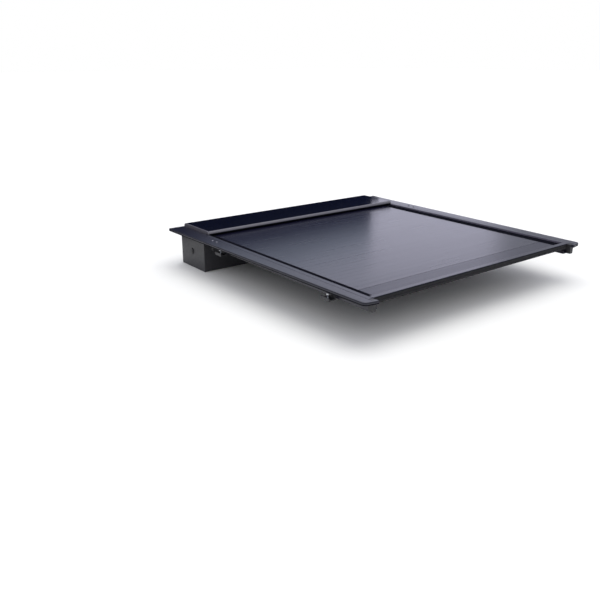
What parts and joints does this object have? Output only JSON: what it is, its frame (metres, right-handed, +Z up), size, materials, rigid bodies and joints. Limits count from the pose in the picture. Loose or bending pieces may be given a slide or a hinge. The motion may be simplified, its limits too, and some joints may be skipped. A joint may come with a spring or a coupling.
{
  "type": "retractable tonneau cover",
  "caption": "Roll-up slatted cover for a pickup bed, with a cab-end canister and lid, side rails, bed-rail caps and a rear bar with a pull latch.",
  "frame": {"origin": "midway between the bed rails, level with their tops, at the tailgate end", "axes": "+X to the truck's right, +Y towards the cab, +Z up"},
  "size_m": [1.622, 1.6406, 0.234],
  "materials": {
    "curtain_coat": "fine satin black coat on aluminium",
    "bar_coat": "fine satin black coat on aluminium",
    "rail_coat": "satin black coat on aluminium",
    "cap_moulding": "grained dark grey moulding",
    "lid_coat": "smooth satin black coat",
    "canister_coat": "semi-matte black coat",
    "black_rubber": "matte extruded rubber",
    "black_plastic": "fine matte moulding",
    "bright_steel": "zinc-bright steel",
    "plain_aluminium": "mill-finish aluminium"
  },
  "bodies": {
    "root": {"side_rail_left": "rail_coat", "side_rail_right": "rail_coat", "rail_cap_left": "cap_moulding", "rail_cap_right": "cap_moulding", "canister_lid": "lid_coat", "lid_trim_left": "lid_coat", "lid_trim_right": "lid_coat", "canister_shell": "canister_coat", "canister_end_left": "canister_coat", "canister_end_right": "canister_coat", "clamp_left_1": "canister_coat", "clamp_left_2": "canister_coat", "clamp_right_1": "canister_coat", "clamp_right_2": "canister_coat", "wiper_seal": "black_rubber", "rail_seal_left": "black_rubber", "rail_seal_right": "black_rubber", "rail_end_left": "black_plastic", "rail_end_right": "black_plastic", "drain_fitting_left": "black_plastic", "drain_fitting_right": "black_plastic", "drum_bushing_left": "black_plastic", "drum_bushing_right": "black_plastic", "cap_screw_left_1": "bright_steel", "cap_screw_left_2": "bright_steel", "cap_screw_right_1": "bright_steel", "cap_screw_right_2": "bright_steel", "clamp_bolt_left_1": "bright_steel", "clamp_bolt_left_2": "bright_steel", "clamp_bolt_right_1": "bright_steel", "clamp_bolt_right_2": "bright_steel"},
    "rear_bar": {"rear_bar": "bar_coat", "tailgate_seal": "black_rubber", "guide_shoe_left": "black_plastic", "guide_shoe_right": "black_plastic", "latch_housing": "black_plastic", "latch_pin": "bright_steel"},
    "latch_lever": {"latch_lever": "black_plastic"},
    "latch_rod_left": {"latch_rod_left": "bright_steel"},
    "latch_rod_right": {"latch_rod_right": "bright_steel"},
    "lock_barrel": {"lock_barrel": "bright_steel"},
    "drum": {"drum_tube": "plain_aluminium", "drum_hub_left": "black_plastic", "drum_hub_right": "black_plastic", "torsion_spring": "bright_steel"},
    "slat_01": {"slat_01": "curtain_coat"},
    "slat_02": {"slat_02": "curtain_coat"},
    "slat_03": {"slat_03": "curtain_coat"},
    "slat_04": {"slat_04": "curtain_coat"},
    "slat_05": {"slat_05": "curtain_coat"},
    "slat_06": {"slat_06": "curtain_coat"},
    "slat_07": {"slat_07": "curtain_coat"},
    "slat_08": {"slat_08": "curtain_coat"},
    "slat_09": {"slat_09": "curtain_coat"},
    "slat_10": {"slat_10": "curtain_coat"},
    "slat_11": {"slat_11": "curtain_coat"},
    "slat_12": {"slat_12": "curtain_coat"},
    "slat_13": {"slat_13": "curtain_coat"},
    "slat_14": {"slat_14": "curtain_coat"},
    "slat_15": {"slat_15": "curtain_coat"}
  },
  "joints": [
    {"name": "cover_slide", "type": "slide", "parent": "root", "child": "rear_bar", "axis": [0, 1, 0], "range_m": [0, 1.205], "deforming": ["slat_01", "slat_02", "slat_03", "slat_04", "slat_05", "slat_06", "slat_07", "slat_08", "slat_09", "slat_10", "slat_11", "slat_12", "slat_13", "slat_14", "slat_15"]},
    {"name": "slat_01_slide", "type": "slide", "parent": "root", "child": "slat_01", "axis": [0, 1, 0], "range_m": [0, 1.2055]},
    {"name": "slat_02_slide", "type": "slide", "parent": "root", "child": "slat_02", "axis": [0, 1, 0], "range_m": [0, 1.13496]},
    {"name": "slat_03_slide", "type": "slide", "parent": "root", "child": "slat_03", "axis": [0, 1, 0], "range_m": [0, 1.06442]},
    {"name": "slat_04_slide", "type": "slide", "parent": "root", "child": "slat_04", "axis": [0, 1, 0], "range_m": [0, 0.99387]},
    {"name": "slat_05_slide", "type": "slide", "parent": "root", "child": "slat_05", "axis": [0, 1, 0], "range_m": [0, 0.92333]},
    {"name": "slat_06_slide", "type": "slide", "parent": "root", "child": "slat_06", "axis": [0, 1, 0], "range_m": [0, 0.85279]},
    {"name": "slat_07_slide", "type": "slide", "parent": "root", "child": "slat_07", "axis": [0, 1, 0], "range_m": [0, 0.78225]},
    {"name": "slat_08_slide", "type": "slide", "parent": "root", "child": "slat_08", "axis": [0, 1, 0], "range_m": [0, 0.71171]},
    {"name": "slat_09_slide", "type": "slide", "parent": "root", "child": "slat_09", "axis": [0, 1, 0], "range_m": [0, 0.64116]},
    {"name": "slat_10_slide", "type": "slide", "parent": "root", "child": "slat_10", "axis": [0, 1, 0], "range_m": [0, 0.57062]},
    {"name": "slat_11_slide", "type": "slide", "parent": "root", "child": "slat_11", "axis": [0, 1, 0], "range_m": [0, 0.50008]},
    {"name": "slat_12_slide", "type": "slide", "parent": "root", "child": "slat_12", "axis": [0, 1, 0], "range_m": [0, 0.42954]},
    {"name": "slat_13_slide", "type": "slide", "parent": "root", "child": "slat_13", "axis": [0, 1, 0], "range_m": [0, 0.359]},
    {"name": "slat_14_slide", "type": "slide", "parent": "root", "child": "slat_14", "axis": [0, 1, 0], "range_m": [0, 0.28845]},
    {"name": "slat_15_slide", "type": "slide", "parent": "root", "child": "slat_15", "axis": [0, 1, 0], "range_m": [0, 0.21791]},
    {"name": "drum_spin", "type": "hinge", "parent": "root", "child": "drum", "pos_m": [0, 1.475, -0.105], "axis": [1, 0, 0], "range_deg": [-1085, 0]},
    {"name": "latch_pull", "type": "hinge", "parent": "rear_bar", "child": "latch_lever", "pos_m": [0, 0.102, -0.0233], "axis": [1, 0, 0], "range_deg": [0, 38], "stiffness_Nm_per_rad": 1.5, "springref_deg": -14.32},
    {"name": "latch_rod_left_slide", "type": "slide", "parent": "rear_bar", "child": "latch_rod_left", "axis": [1, 0, 0], "range_m": [0, 0.0145]},
    {"name": "latch_rod_right_slide", "type": "slide", "parent": "rear_bar", "child": "latch_rod_right", "axis": [-1, 0, 0], "range_m": [0, 0.0145]},
    {"name": "lock_turn", "type": "hinge", "parent": "rear_bar", "child": "lock_barrel", "pos_m": [0.112, 0.084, -0.015], "axis": [0, 0, 1], "range_deg": [0, 90]}
  ],
  "couplings": [
    {"joint": "slat_01_slide", "follows": "cover_slide", "ratio": 1},
    {"joint": "slat_02_slide", "follows": "cover_slide", "ratio": 0.94146},
    {"joint": "slat_03_slide", "follows": "cover_slide", "ratio": 0.88292},
    {"joint": "slat_04_slide", "follows": "cover_slide", "ratio": 0.82438},
    {"joint": "slat_05_slide", "follows": "cover_slide", "ratio": 0.76584},
    {"joint": "slat_06_slide", "follows": "cover_slide", "ratio": 0.7073},
    {"joint": "slat_07_slide", "follows": "cover_slide", "ratio": 0.64875},
    {"joint": "slat_08_slide", "follows": "cover_slide", "ratio": 0.59021},
    {"joint": "slat_09_slide", "follows": "cover_slide", "ratio": 0.53167},
    {"joint": "slat_10_slide", "follows": "cover_slide", "ratio": 0.47313},
    {"joint": "slat_11_slide", "follows": "cover_slide", "ratio": 0.41459},
    {"joint": "slat_12_slide", "follows": "cover_slide", "ratio": 0.35605},
    {"joint": "slat_13_slide", "follows": "cover_slide", "ratio": 0.29751},
    {"joint": "slat_14_slide", "follows": "cover_slide", "ratio": 0.23897},
    {"joint": "slat_15_slide", "follows": "cover_slide", "ratio": 0.18043},
    {"joint": "drum_spin", "follows": "cover_slide", "rad_per_m": -15.643},
    {"joint": "latch_rod_left_slide", "follows": "latch_pull", "m_per_rad": 0.021109},
    {"joint": "latch_rod_right_slide", "follows": "latch_pull", "m_per_rad": 0.021109}
  ]
}
